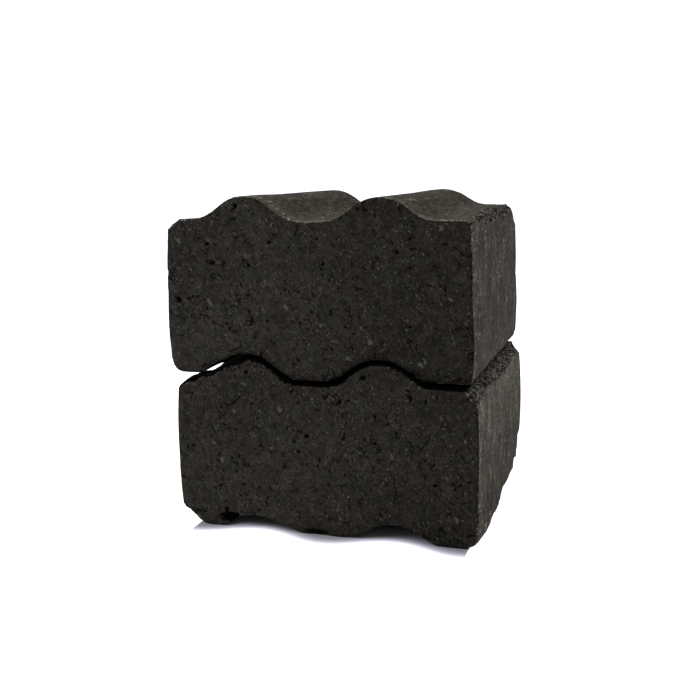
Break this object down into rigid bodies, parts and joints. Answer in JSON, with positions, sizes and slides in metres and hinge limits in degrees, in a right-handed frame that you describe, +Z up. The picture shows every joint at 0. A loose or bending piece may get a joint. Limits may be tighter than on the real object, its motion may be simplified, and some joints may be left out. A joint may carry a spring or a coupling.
{
  "type": "charcoal block pair",
  "caption": "Stacked pressed charcoal blocks with round waves above and below that nest, leaving air arches underneath.",
  "frame": {"origin": "on the ground under the middle of the stack's bounding box", "axes": "+Z up, the direction the blocks are stacked in; +Y along the waves, away from the front; +X across the waves, to the right seen from the front"},
  "size_m": [0.0822, 0.0798, 0.0873],
  "materials": {
    "lower_charcoal": "matt, coarse pressed charcoal",
    "upper_charcoal": "matt, coarse pressed charcoal"
  },
  "bodies": {
    "lower_block": {"lower_block": "lower_charcoal"},
    "upper_block": {"upper_block": "upper_charcoal"}
  },
  "joints": [
    {"name": "lift_off", "type": "slide", "parent": "lower_block", "child": "upper_block", "axis": [0, 0, 1], "range_m": [0, 0.06]}
  ]
}
